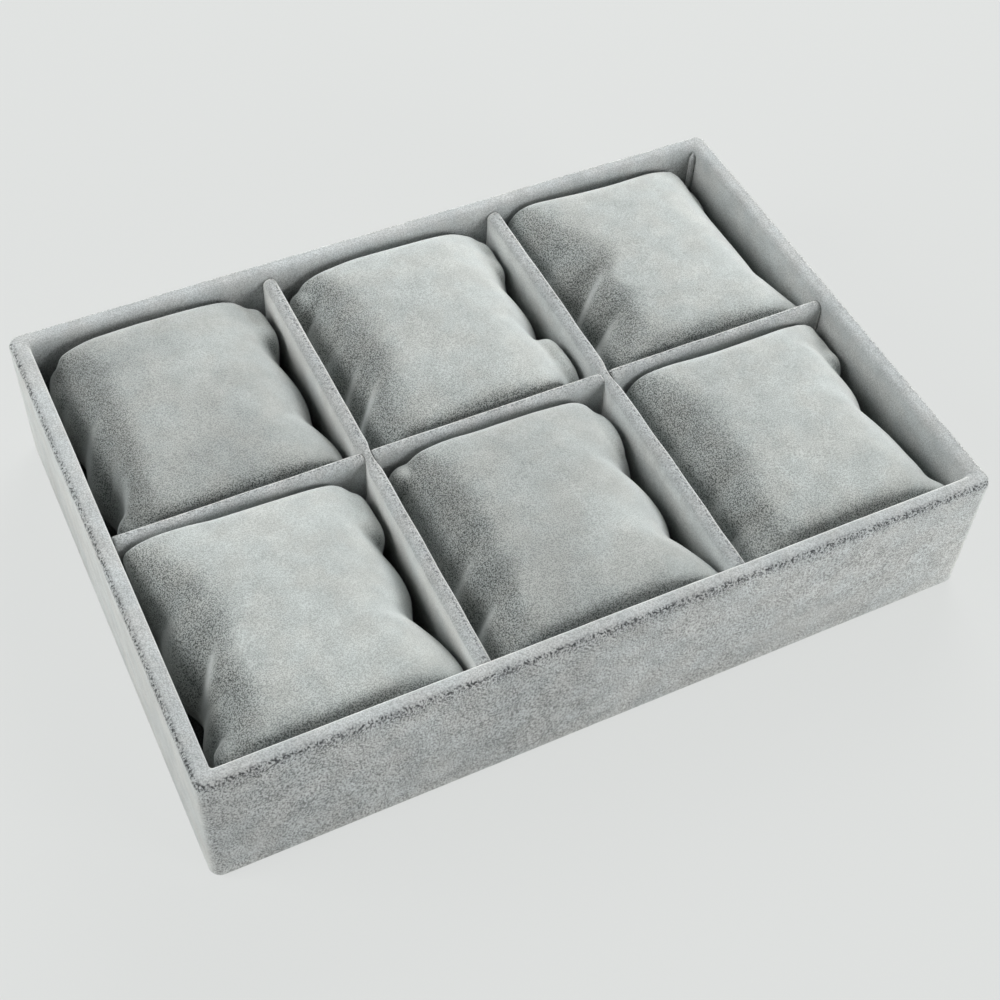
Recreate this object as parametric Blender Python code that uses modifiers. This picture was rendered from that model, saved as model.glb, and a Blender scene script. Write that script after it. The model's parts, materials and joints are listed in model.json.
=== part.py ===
"""Velvet display tray with six loose watch pillows in three columns and two rows.

Metres, +Z up. X runs along the tray, -Y is its front, and the origin is at the centre of
the underside, on the surface that the tray stands on.
"""

import math

import bmesh
import bpy
from mathutils import Matrix, Vector

# Tray, measured over its velvet
tray_length = 0.280
tray_depth = 0.196
tray_height = 0.0565
inner_corner_radius = 0.0008

# Boards and fabric
wall_board_thickness = 0.004
base_board_thickness = 0.003
floor_card_thickness = 0.0015
velvet_thickness = 0.00105
board_corner_radius = 0.0026
board_edge_radius = 0.00125
hem_width = 0.012
underside_thickness = 0.0008
underside_inset = 0.003
underside_corner_radius = 0.003
floor_edge_radius = 0.0013
seat_gap = 0.0003

# Dividers: a card core in a folded velvet sleeve, halved together where they cross
divider_core_thickness = 0.0023
divider_drop = 0.0026
lap_pinch_share = 0.7

# Pillows, which fill their compartments and crown just over the rim
pillow_clearance = 0.001
pillow_crown_rise = 0.0015
slit_length = 0.030
slit_height = 0.0012

# Compartments
columns = ("left", "middle", "right")
rows = ("front", "back")
cross_dividers = ("left_cross_divider", "right_cross_divider")

# Fineness of the round parts
corner_steps = 4
edge_steps = 3
divider_top_steps = 8

# Form of a pillow. The cage lines are shares of its half length, half depth and half height.
cage_length_shares = (-0.76, -0.32, 0.32, 0.76)
cage_depth_shares = (-0.78, -0.4, 0.0, 0.4, 0.78)
cage_height_shares = (-0.5, 0.0, 0.5)
end_draw_share = 0.15
end_top_draw_share = 0.16
end_thin_share = 0.46
side_draw_share = 0.02
side_top_draw_share = 0.05
side_thin_share = 0.17
underside_share = 0.9
ear_share = 0.03
gather_share = 0.03
gathers_along_an_end = 3.0

# How far a cutter runs past what it cuts
cut_overrun = 0.004

# Worked out from the above
skin = velvet_thickness + seat_gap
wall_thickness = wall_board_thickness + 2 * skin
inner_length = tray_length - 2 * wall_thickness
inner_depth = tray_depth - 2 * wall_thickness
outer_corner_radius = board_corner_radius + skin
rim_radius = board_edge_radius + skin

hem_level = underside_thickness + seat_gap
board_level = hem_level + skin
board_top = tray_height - skin
card_level = board_level + base_board_thickness + seat_gap
floor_top = card_level + floor_card_thickness + skin

divider_thickness = divider_core_thickness + 2 * skin
divider_level = floor_top + seat_gap
divider_top = tray_height - divider_drop
lap_level = (divider_level + divider_top) / 2
lap_pinch = lap_pinch_share * velvet_thickness
lap_passage = divider_thickness + 2 * seat_gap

compartment_length = (inner_length - (len(columns) - 1) * divider_thickness) / len(columns)
compartment_depth = (inner_depth - (len(rows) - 1) * divider_thickness) / len(rows)

pillow_length = compartment_length - 2 * pillow_clearance
pillow_depth = compartment_depth - 2 * pillow_clearance
pillow_base = floor_top + seat_gap
pillow_height = tray_height + pillow_crown_rise - pillow_base


def clear_scene():
    for old in list(bpy.data.objects):
        bpy.data.objects.remove(old)


def new_collection(name):
    collection = bpy.data.collections.new(name)
    bpy.context.scene.collection.children.link(collection)
    return collection


def new_material(name, colour, roughness):
    material = bpy.data.materials.new(name)
    material.use_nodes = True
    shader = material.node_tree.nodes["Principled BSDF"]
    shader.inputs["Base Color"].default_value = (*colour, 1)
    shader.inputs["Roughness"].default_value = roughness
    shader.inputs["Metallic"].default_value = 0
    material.diffuse_color = (*colour, 1)
    return material


def mesh_from(name, form):
    """The mesh of a bmesh, which is freed."""
    mesh = bpy.data.meshes.new(name)
    form.to_mesh(mesh)
    form.free()
    return mesh


def add_object(name, mesh, collection, material=None):
    obj = bpy.data.objects.new(name, mesh)
    collection.objects.link(obj)
    if material and not mesh.materials:
        mesh.materials.append(material)
    return obj


def box_form(size, centre):
    """A bmesh box of this size about this centre."""
    form = bmesh.new()
    place = Matrix.Translation(centre) @ Matrix.Diagonal((*size, 1))
    bmesh.ops.create_cube(form, size=1, matrix=place)
    return form


def round_edges(form, chosen, radius, steps):
    edges = [edge for edge in form.edges if chosen(*edge.verts)]
    bmesh.ops.bevel(form, geom=edges, offset=radius, segments=steps, profile=0.5, affect="EDGES")


def is_upright(a, b):
    return abs(a.co.z - b.co.z) > max(abs(a.co.x - b.co.x), abs(a.co.y - b.co.y))


def cutter(name, form):
    obj = add_object(name, mesh_from(name, form), cutters)
    obj.hide_render = True
    obj.display_type = "WIRE"
    return obj


def cut(obj, tool):
    modifier = obj.modifiers.new(f"cut {tool.name}", "BOOLEAN")
    modifier.operation = "DIFFERENCE"
    modifier.solver = "EXACT"
    modifier.object = tool


def thicken_inwards(obj):
    """Gives an open surface of velvet its thickness, away from its pile."""
    modifier = obj.modifiers.new("velvet", "SOLIDIFY")
    modifier.thickness = velvet_thickness
    modifier.offset = -1
    modifier.use_even_offset = True


def evaluated_mesh(obj):
    """A mesh with the object's modifiers applied."""
    bpy.context.view_layer.update()
    return bpy.data.meshes.new_from_object(obj.evaluated_get(bpy.context.evaluated_depsgraph_get()))


def plate(name, length, depth, low, high, radius, material):
    """A flat sheet between two levels, with its upright corners rounded."""
    form = box_form((length, depth, high - low), Vector((0, 0, (low + high) / 2)))
    if radius:
        round_edges(form, is_upright, radius, corner_steps)
    return add_object(name, mesh_from(name, form), tray, material)


def long_wall_board(name, side):
    """The front or back board, whose ends make the tray's rounded outer corners."""
    length = tray_length - 2 * skin
    place = side * (tray_depth / 2 - skin - wall_board_thickness / 2)
    height = board_top - board_level
    centre = Vector((0, place, board_level + height / 2))
    form = box_form((length, wall_board_thickness, height), centre)

    def is_outer_corner(a, b):
        return is_upright(a, b) and side * a.co.y > side * place

    def is_top(a, b):
        return min(a.co.z, b.co.z) > centre.z

    round_edges(form, is_outer_corner, board_corner_radius, corner_steps)
    round_edges(form, is_top, board_edge_radius, edge_steps)
    return add_object(name, mesh_from(name, form), tray, board)


def end_wall_board(name, side):
    """The left or right board, which fits between the front and back boards."""
    length = tray_depth - 2 * (skin + wall_board_thickness + seat_gap)
    place = side * (tray_length / 2 - skin - wall_board_thickness / 2)
    height = board_top - board_level
    centre = Vector((place, 0, board_level + height / 2))
    form = box_form((wall_board_thickness, length, height), centre)

    def is_top_side(a, b):
        return min(a.co.z, b.co.z) > centre.z and a.co.y * b.co.y < 0

    round_edges(form, is_top_side, board_edge_radius, edge_steps)
    return add_object(name, mesh_from(name, form), tray, board)


def arc(centre, radius, start, end, steps):
    """Points of an arc in a plane, from one angle in degrees to the other."""
    angles = [math.radians(start + (end - start) * step / steps) for step in range(steps + 1)]
    return [(centre[0] + radius * math.cos(a), centre[1] + radius * math.sin(a)) for a in angles]


def rounded_ring(inset, level):
    """A ring round the tray at a level, this far in from its outer faces."""
    radius = max(outer_corner_radius - inset, inner_corner_radius)
    x = tray_length / 2 - inset - radius
    y = tray_depth / 2 - inset - radius
    ring = []
    for quarter, (sx, sy) in enumerate(((1, 1), (-1, 1), (-1, -1), (1, -1))):
        start = 90 * quarter
        ring += arc((sx * x, sy * y), radius, start, start + 90, corner_steps)
    return [Vector((*point, level)) for point in ring]


def wrap_section():
    """The pile side of the wrap in section, as (inset from the outer face, level).

    It runs from the hem under the boards, up the outer face, over the rim and down the
    inner face.
    """
    foot = arc((skin, hem_level + skin), skin, 270, 180, edge_steps)
    crown_level = tray_height - rim_radius
    outer_roll = arc((rim_radius, crown_level), rim_radius, 180, 90, edge_steps)
    inner_roll = arc((wall_thickness - rim_radius, crown_level), rim_radius, 90, 0, edge_steps)
    return [(hem_width, hem_level), *foot, *outer_roll, *inner_roll, (wall_thickness, card_level)]


def make_outer_wrap():
    """The velvet round the walls: a loft of rounded rings along its section."""
    form = bmesh.new()
    rings = [
        [form.verts.new(point) for point in rounded_ring(inset, level)]
        for inset, level in wrap_section()
    ]
    for lower, upper in zip(rings, rings[1:]):
        for i in range(len(lower)):
            form.faces.new((lower[i - 1], lower[i], upper[i], upper[i - 1]))
    obj = add_object("outer_wrap", mesh_from("outer_wrap", form), tray, tray_velvet)
    thicken_inwards(obj)
    return obj


def make_floor_velvet():
    """The velvet over the floor card, turned down round its edges."""
    length = inner_length - 2 * seat_gap
    depth = inner_depth - 2 * seat_gap
    middle = (card_level + floor_top) / 2
    form = box_form((length, depth, floor_top - card_level), Vector((0, 0, middle)))
    underside = [face for face in form.faces if face.normal.z < -0.5]
    bmesh.ops.delete(form, geom=underside, context="FACES_ONLY")

    def is_top(a, b):
        return min(a.co.z, b.co.z) > middle

    round_edges(form, is_top, floor_edge_radius, edge_steps)
    obj = add_object("floor_velvet", mesh_from("floor_velvet", form), tray, tray_velvet)
    thicken_inwards(obj)
    return obj


def divider_outline(thickness, top):
    """Up one side, over the round top and down the other side, as (across, level)."""
    half = thickness / 2
    round_top = arc((0, top - half), half, 180, 0, divider_top_steps)
    return [(-half, divider_level), *round_top, (half, divider_level)]


def extruded(outline, length, closed):
    """The outline drawn along X, about the origin, with capped ends if it is closed."""
    form = bmesh.new()
    start = [form.verts.new((-length / 2, across, level)) for across, level in outline]
    if closed:
        first = form.faces.new(start)
        drawn = bmesh.ops.extrude_face_region(form, geom=[first])["geom"]
    else:
        edges = [form.edges.new(pair) for pair in zip(start, start[1:])]
        drawn = bmesh.ops.extrude_edge_only(form, edges=edges)["geom"]
    moved = [item for item in drawn if isinstance(item, bmesh.types.BMVert)]
    bmesh.ops.translate(form, vec=(length, 0, 0), verts=moved)
    bmesh.ops.recalc_face_normals(form, faces=form.faces)
    return form


def faces_up(form):
    """Turns an open sleeve round if its top faces down."""
    top = max(form.faces, key=lambda face: face.calc_center_median().z)
    if top.normal.z < 0:
        bmesh.ops.reverse_faces(form, faces=form.faces)
    return form


def make_divider(name, length, place, turn, tools):
    """A card core and its velvet sleeve, both cut by the tools of their joints. Gives the sleeve."""
    core_form = extruded(divider_outline(divider_core_thickness, divider_top - skin), length, True)
    sleeve_form = faces_up(extruded(divider_outline(divider_thickness, divider_top), length, False))
    core = add_object(f"{name}_core", mesh_from(f"{name}_core", core_form), tray, board)
    sleeve = add_object(f"{name}_velvet", mesh_from(f"{name}_velvet", sleeve_form), tray, tray_velvet)
    thicken_inwards(sleeve)
    for obj in (core, sleeve):
        obj.location = place
        obj.rotation_euler.z = turn
        for tool in tools:
            cut(obj, tool)
    return sleeve


def slot_cutter(name, place, size_x, size_y, low, high):
    size = (size_x, size_y, high - low)
    return cutter(name, box_form(size, Vector((place, 0, (low + high) / 2))))


def make_dividers():
    """One divider along the tray and one between each two columns, in half-lap joints.

    The cross dividers run through at the top, where the slots of the long one pinch their
    velvet.
    """
    run = divider_thickness + 2 * cut_overrun
    long_slots = []
    width = divider_thickness - 2 * lap_pinch + 2 * seat_gap
    top = divider_top + cut_overrun
    low = divider_level - cut_overrun
    roof = lap_level + seat_gap
    for number, name in enumerate(cross_dividers):
        place = column_place(number) + (compartment_length + divider_thickness) / 2
        long_slots.append(slot_cutter(f"{name}_slot", place, width, run, lap_level, top))
        under_slot = slot_cutter(f"{name}_under_slot", place, run, lap_passage, low, roof)
        length = inner_depth - 2 * seat_gap
        sleeve = make_divider(name, length, Vector((place, 0, 0)), math.pi / 2, [under_slot])
        for side in (-1, 1):
            flank = place + side * (divider_thickness / 2 - lap_pinch + cut_overrun / 2)
            end = "left" if side < 0 else "right"
            tool = slot_cutter(f"{name}_{end}_pinch", flank, cut_overrun, lap_passage, lap_level, top)
            cut(sleeve, tool)
    make_divider("long_divider", inner_length - 2 * seat_gap, Vector(), 0, long_slots)


def column_place(number):
    return (number - (len(columns) - 1) / 2) * (compartment_length + divider_thickness)


def row_place(number):
    return (number - (len(rows) - 1) / 2) * (compartment_depth + divider_thickness)


def pillow_point(point):
    """Where a point of the unit cage goes on a stuffed bag, in half lengths, depths and heights.

    The bag is full in its middle and thins out towards its two ends, which draw in between
    the corners and gather along their seams. The corners keep their ears at mid-height.
    """
    u, v, w = (2 * share for share in point)
    on_end = u * u
    on_side = v ** 4
    seam = (1 - abs(w)) ** 2
    gather = gather_share * math.cos(math.pi * gathers_along_an_end * v) * seam
    end_drawn = end_draw_share * (1 - v * v) + end_top_draw_share * w * w + gather
    side_drawn = side_draw_share * (1 - on_end) + side_top_draw_share * w * w
    ear = 1 + ear_share * on_end * on_side * seam
    thinned = end_thin_share * on_end * on_end + side_thin_share * on_side
    if w < 0:
        thinned *= underside_share
    return Vector((u * (1 - on_end * end_drawn) * ear, v * (1 - side_drawn) * ear, w * (1 - thinned)))


def pillow_cage():
    """A unit cube with cage lines along each axis, moved to the form of a pillow."""
    form = bmesh.new()
    bmesh.ops.create_cube(form, size=1)
    for axis, shares in enumerate((cage_length_shares, cage_depth_shares, cage_height_shares)):
        normal = Vector([float(axis == i) for i in range(3)])
        for share in shares:
            everything = [*form.verts, *form.edges, *form.faces]
            bmesh.ops.bisect_plane(form, geom=everything, plane_co=normal * share / 2, plane_no=normal)
    for vertex in form.verts:
        vertex.co = pillow_point(vertex.co)
    return mesh_from("pillow_cage", form)


def fit_to(mesh, others, size):
    """Scales a mesh, and others with it, so that it just fills a box of this size on the origin."""
    low = [min(vertex.co[i] for vertex in mesh.vertices) for i in range(3)]
    high = [max(vertex.co[i] for vertex in mesh.vertices) for i in range(3)]
    scale = [size[i] / (high[i] - low[i]) for i in range(3)]
    shift = Vector([-(low[0] + high[0]) / 2, -(low[1] + high[1]) / 2, -low[2]])
    place = Matrix.Diagonal((*scale, 1)) @ Matrix.Translation(shift)
    for other in (mesh, *others):
        other.transform(place)


def triangulate(mesh):
    form = bmesh.new()
    form.from_mesh(mesh)
    bmesh.ops.triangulate(form, faces=form.faces)
    form.to_mesh(mesh)
    form.free()


def shrunk(mesh, name, distance):
    """A copy of a closed mesh with each point moved in along its normal."""
    smaller = mesh.copy()
    smaller.name = name
    for vertex, old in zip(smaller.vertices, mesh.vertices):
        vertex.co = old.co - old.normal * distance
    return smaller


def pillow_meshes():
    """The cover, a velvet bag with a closing slit in one end seam, and the fill inside it."""
    cage = pillow_cage()
    bag = add_object("pillow_form", cage, cutters)
    smooth = bag.modifiers.new("soft form", "SUBSURF")
    smooth.levels = 1
    smooth.render_levels = 1
    skin_mesh = evaluated_mesh(bag)
    lining = cage.copy()
    for vertex, smoothed in zip(lining.vertices, skin_mesh.vertices):
        vertex.co = smoothed.co
    triangulate(lining)
    bpy.data.objects.remove(bag)
    fit_to(skin_mesh, [lining], (pillow_length, pillow_depth, pillow_height))
    skin_mesh.name = "pillow_cover"

    hollow = add_object("pillow_hollow", shrunk(lining, "pillow_hollow", velvet_thickness), cutters)
    slit_centre = Vector((-pillow_length / 2, 0, pillow_height / 2))
    slit = cutter("pillow_slit", box_form((pillow_length / 2, slit_length, slit_height), slit_centre))
    cover = add_object("pillow_cover_form", skin_mesh, cutters)
    cut(cover, hollow)
    cut(cover, slit)
    cover_mesh = evaluated_mesh(cover)
    for helper in (cover, hollow, slit):
        bpy.data.objects.remove(helper)
    return cover_mesh, shrunk(lining, "pillow_fill", skin)


def make_pillows():
    cover_mesh, fill_mesh = pillow_meshes()
    for row, row_name in enumerate(rows):
        for column, column_name in enumerate(columns):
            name = f"{row_name}_{column_name}_pillow"
            place = Vector((column_place(column), row_place(row), pillow_base))
            cover = add_object(f"{name}_cover", cover_mesh, pillows, pillow_velvet)
            fill = add_object(f"{name}_fill", fill_mesh, pillows, wadding)
            cover.location = place
            fill.location = place


def make_boards():
    inside = 2 * (skin + wall_board_thickness + seat_gap)
    plate(
        "underside_cover",
        tray_length - 2 * underside_inset,
        tray_depth - 2 * underside_inset,
        0,
        underside_thickness,
        underside_corner_radius,
        backing,
    )
    plate(
        "base_board",
        tray_length - inside,
        tray_depth - inside,
        board_level,
        board_level + base_board_thickness,
        0,
        board,
    )
    card_inset = 2 * (seat_gap + skin)
    plate(
        "floor_card",
        inner_length - card_inset,
        inner_depth - card_inset,
        card_level,
        card_level + floor_card_thickness,
        0,
        board,
    )
    long_wall_board("front_wall_board", -1)
    long_wall_board("back_wall_board", 1)
    end_wall_board("left_wall_board", -1)
    end_wall_board("right_wall_board", 1)


clear_scene()
tray = new_collection("display_tray")
pillows = new_collection("pillows")
cutters = new_collection("cutters")

tray_velvet = new_material("tray_velvet", (0.52, 0.54, 0.56), 0.9)
pillow_velvet = new_material("pillow_velvet", (0.60, 0.63, 0.61), 0.9)
board = new_material("grey_board", (0.36, 0.34, 0.31), 0.8)
backing = new_material("underside_backing", (0.42, 0.43, 0.44), 0.9)
wadding = new_material("white_wadding", (0.80, 0.80, 0.78), 1.0)

make_boards()
make_outer_wrap()
make_floor_velvet()
make_dividers()
make_pillows()
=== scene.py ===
"""Looks of the velvet display tray and its six pillows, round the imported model.

The velvet over the walls and the dividers and the stuffed pillows are built anew here, and the other
pieces get their materials. Metres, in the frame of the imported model: +Z up, X along the tray and -Y
its front.
"""

import json
import math
import random
from itertools import product

import bmesh
import bpy
from mathutils import Matrix, Vector, noise

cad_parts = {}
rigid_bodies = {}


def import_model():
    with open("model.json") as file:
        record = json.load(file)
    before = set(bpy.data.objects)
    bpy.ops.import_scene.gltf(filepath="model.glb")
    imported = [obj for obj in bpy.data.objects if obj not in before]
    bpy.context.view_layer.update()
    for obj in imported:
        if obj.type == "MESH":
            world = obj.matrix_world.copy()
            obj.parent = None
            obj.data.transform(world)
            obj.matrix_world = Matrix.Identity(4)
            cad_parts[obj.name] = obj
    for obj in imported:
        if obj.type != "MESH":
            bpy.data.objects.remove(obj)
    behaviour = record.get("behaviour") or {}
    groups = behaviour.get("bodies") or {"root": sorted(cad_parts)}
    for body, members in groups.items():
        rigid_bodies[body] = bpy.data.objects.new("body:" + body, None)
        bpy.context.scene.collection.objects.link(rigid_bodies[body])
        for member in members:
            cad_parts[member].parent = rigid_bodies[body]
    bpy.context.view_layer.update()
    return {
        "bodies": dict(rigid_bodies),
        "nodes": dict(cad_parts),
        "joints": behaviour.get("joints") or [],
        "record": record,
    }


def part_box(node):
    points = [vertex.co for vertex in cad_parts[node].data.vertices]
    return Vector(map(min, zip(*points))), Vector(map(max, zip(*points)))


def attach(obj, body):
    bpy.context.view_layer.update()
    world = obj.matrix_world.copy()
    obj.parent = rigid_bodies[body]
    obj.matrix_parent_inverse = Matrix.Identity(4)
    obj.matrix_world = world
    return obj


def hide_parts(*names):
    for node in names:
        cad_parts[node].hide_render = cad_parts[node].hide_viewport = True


# Camera, fitted to the tray's edges in the photograph
camera_place = (-0.18036, -0.33907, 0.48509)
camera_azimuth = 28.80
camera_dip = 51.25
camera_roll = 3.68
camera_lens = 60.81
camera_sensor = 36.0

# Floor, just under the underside, and the colour that it and the backdrop show
floor_half = 3.0
floor_level = -0.0001
floor_colour = (0.873, 0.881, 0.876)

# Share of its own light that the floor shows the camera, whatever the lamps do
floor_glow_share = 0.9

# The dim world, in linear light, and the lamps: their places, targets, widths and watts
world_colour = (0.97, 0.99, 1.0)
world_strength = 0.04
lamps = {
    "back_right": ((0.45, 0.60, 0.85), (0, 0, 0), 0.9, 4.7),
    "low_back_right": ((0.65, 0.80, 0.60), (0, 0, 0), 0.9, 10.0),
    "left": ((-0.85, 0.10, 0.65), (0, 0, 0.03), 0.7, 7.2),
    "front_right": ((0.50, -0.92, 0.30), (0.05, -0.05, 0.03), 0.5, 6.8),
}

# The corners of a rectangle in turn, anticlockwise from above, as the sides of X and Y they are on
corner_sides = ((1, 1), (-1, 1), (-1, -1), (1, -1))

# Velvet, and the wrap that covers the walls with it
velvet_thickness = 0.00105
seat_gap = 0.0003
hem_width = 0.012
outer_corner_radius = 0.0040
inner_corner_radius = 0.0012
rim_radius = 0.0026
inner_brushed = 0.3
foot_kept_flat = 0.002

# Divider sleeves: the pinch where they cross, the frayed cut ends and the seam along the top
divider_notch_share = 0.7
divider_notch_length = 0.0050
divider_notch_fade = 0.004
divider_wander_share = 0.14
divider_wander_length = 0.014
divider_sag = 0.0004
divider_sag_length = 0.02
divider_sag_crosswise = 4
divider_brushed = 0.3
seam_place = 0.35
seam_spread = 0.35
seam_share = 0.75
fray_length = 0.0015
fray_drop = 0.0006
fray_share = 0.5

# Fold of the lining in the back right corner
lining_fold_width = 0.0022
lining_fold_depth_share = 0.45
lining_fold_stand_share = 1.1
lining_fold_wander = 0.0003
lining_fold_drop = 0.0022
lining_fold_tip_share = 0.05

# Looks of the velvet: the direction of its painted light, up, right and a little back, which leaves the
# faces turned towards it lit and paints shade on the faces turned away, how its pile streaks, the dark
# between its tufts in linear light, and its tones in sRGB shares
tuft_fineness = 2300.0
painted_light_direction = (0.62, 0.22, 0.75)
streak_turn = 45.0
streak_stretch = (0.55, 1.0, 1.1)
between_tufts = (0.02, 0.022, 0.025)
# The sheen_tips tone is the pale sheen painted into the colour towards grazing views, and deep is the speck
# tone of the painted shade.
tray_tones = {
    "sheen_tips": (0.965, 0.975, 0.965),
    "light": (0.83, 0.845, 0.845),
    "dark": (0.67, 0.685, 0.685),
    "deep": (0.70, 0.715, 0.715),
    "brushed": (0.18, 0.185, 0.19),
}
pillow_tones = {
    "sheen_tips": (0.88, 0.90, 0.892),
    "light": (0.825, 0.845, 0.835),
    "dark": (0.73, 0.75, 0.74),
    "deep": (0.38, 0.40, 0.39),
}

# Fineness and waviness of the velvet pieces
ring_step = 0.0035
corner_steps = 8
roll_steps = 6
face_steps = 14
divider_step = 0.0012
divider_side_step = 0.004
lining_fold_steps = 20
waviness = 0.00022
wave_length = 0.035
fine_wave_share = 0.4
fine_wave_length = wave_length / 3

# Stuffed bags, simulated at ten times their size, each at a station of its own
bag_scale = 10.0
station_spacing = 2.0
bag_cells_along = 38
bag_cells_across = 48
bag_frames = 45
bag_pressure = 80.0
bag_gravity = 0.5
bag_bending = 2.5
bag_jitter = 0.0006
pucker_width_share = 0.10
corner_sharpness = 8
corner_rounding_share = 0.05
start_fill_share = 0.93
start_half_height = 0.018
start_middle = 0.0243
start_ear_lift = 0.012

# Mould that a bag is blown up in, with its domed lid
contact_gap = 0.0010
mould_skin = 0.0010
stand_off = contact_gap + mould_skin
mould_thickness = 0.010
mould_top = 0.08
crown_level = 0.0590
crown_fall = 0.0045
crown_side_share = 0.9
crown_side_power = 3.5
lid_thickness = 0.03
lid_steps = 12

# Corners, ears and folds of a bag, and the fineness of its skin
loose_squareness = 4
full_squareness = 12
ear_bluntness = 2.8
ear_cleft_width = 0.28
ear_unevenness = 0.07
ear_wave_length = 0.9
bag_voxel = 0.0011
fold_half_width = 0.0048
fold_ridge_share = 0.35
fold_ridge_spread = 1.4
fold_foot = 0.015
fold_full_rise = 0.010
ruffled_mean = 0.75
ruffled_swing = 0.5
ruffled_length = 0.02


def linear(*shares):
    """A colour given in sRGB shares, in linear light."""
    return tuple(c / 12.92 if c <= 0.04045 else ((c + 0.055) / 1.055) ** 2.4 for c in shares)


def dimmed(colour, share):
    return tuple(share * c for c in colour)


def clamp(value, low=0.0, high=1.0):
    return min(high, max(low, value))


def mesh_object(name, points, faces, smooth=True):
    mesh = bpy.data.meshes.new(name)
    mesh.from_pydata([tuple(point) for point in points], [], faces)
    mesh.validate()
    if smooth:
        mesh.shade_smooth()
    obj = bpy.data.objects.new(name, mesh)
    bpy.context.scene.collection.objects.link(obj)
    return obj


def apply_modifiers(obj):
    bpy.context.view_layer.update()
    evaluated = obj.evaluated_get(bpy.context.evaluated_depsgraph_get())
    mesh = bpy.data.meshes.new_from_object(evaluated)
    obj.modifiers.clear()
    old = obj.data
    obj.data = mesh
    bpy.data.meshes.remove(old)
    mesh.name = obj.name


def add_camera():
    data = bpy.data.cameras.new("camera")
    data.lens = camera_lens
    data.sensor_width = camera_sensor
    data.clip_start = 0.01
    obj = bpy.data.objects.new("camera", data)
    bpy.context.scene.collection.objects.link(obj)
    azimuth, dip, roll = (math.radians(a) for a in (camera_azimuth, camera_dip, camera_roll))
    level = Vector((math.sin(azimuth), math.cos(azimuth), 0))
    forward = level * math.cos(dip) - Vector((0, 0, math.sin(dip)))
    right = Vector((math.cos(azimuth), -math.sin(azimuth), 0))
    up = right.cross(forward)
    right = right * math.cos(roll) + up * math.sin(roll)
    up = right.cross(forward)
    turn = Matrix((right, up, -forward)).transposed().to_4x4()
    obj.matrix_world = Matrix.Translation(camera_place) @ turn
    bpy.context.scene.camera = obj


def area_light(name, place, target, size, power):
    data = bpy.data.lights.new(name, "AREA")
    data.shape = "DISK"
    data.size = size
    data.energy = power
    obj = bpy.data.objects.new(name, data)
    bpy.context.scene.collection.objects.link(obj)
    obj.location = place
    direction = Vector(target) - Vector(place)
    obj.rotation_euler = direction.to_track_quat("-Z", "Y").to_euler()


def add_light():
    """A dim world that looks like the floor to the camera, and the soft lamps."""
    world = bpy.data.worlds.new("studio")
    world.use_nodes = True
    nodes, links = world.node_tree.nodes, world.node_tree.links
    dim = nodes["Background"]
    dim.inputs["Color"].default_value = (*world_colour, 1)
    dim.inputs["Strength"].default_value = world_strength
    backdrop = nodes.new("ShaderNodeBackground")
    backdrop.inputs["Color"].default_value = (*linear(*floor_colour), 1)
    seen = nodes.new("ShaderNodeLightPath")
    mix = nodes.new("ShaderNodeMixShader")
    links.new(seen.outputs["Is Camera Ray"], mix.inputs["Fac"])
    links.new(dim.outputs["Background"], mix.inputs[1])
    links.new(backdrop.outputs["Background"], mix.inputs[2])
    links.new(mix.outputs["Shader"], nodes["World Output"].inputs["Surface"])
    bpy.context.scene.world = world
    for name, lamp in lamps.items():
        area_light(name, *lamp)


def add_floor():
    """A pale floor, seen by the camera at the photograph's background colour."""
    corners = [(side_x * floor_half, side_y * floor_half, floor_level) for side_x, side_y in corner_sides]
    floor = mesh_object("floor", corners, [(0, 1, 2, 3)])
    material = bpy.data.materials.new("floor")
    material.use_nodes = True
    nodes, links = material.node_tree.nodes, material.node_tree.links
    nodes.clear()
    colour = (*linear(*floor_colour), 1)
    output = nodes.new("ShaderNodeOutputMaterial")
    paper = nodes.new("ShaderNodeBsdfDiffuse")
    paper.inputs["Color"].default_value = colour
    glow = nodes.new("ShaderNodeEmission")
    glow.inputs["Color"].default_value = colour
    part = nodes.new("ShaderNodeMixShader")
    part.inputs["Fac"].default_value = floor_glow_share
    seen = nodes.new("ShaderNodeLightPath")
    mix = nodes.new("ShaderNodeMixShader")
    links.new(paper.outputs["BSDF"], part.inputs[1])
    links.new(glow.outputs["Emission"], part.inputs[2])
    links.new(seen.outputs["Is Camera Ray"], mix.inputs["Fac"])
    links.new(paper.outputs["BSDF"], mix.inputs[1])
    links.new(part.outputs["Shader"], mix.inputs[2])
    links.new(mix.outputs["Shader"], output.inputs["Surface"])
    floor.data.materials.append(material)


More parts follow.
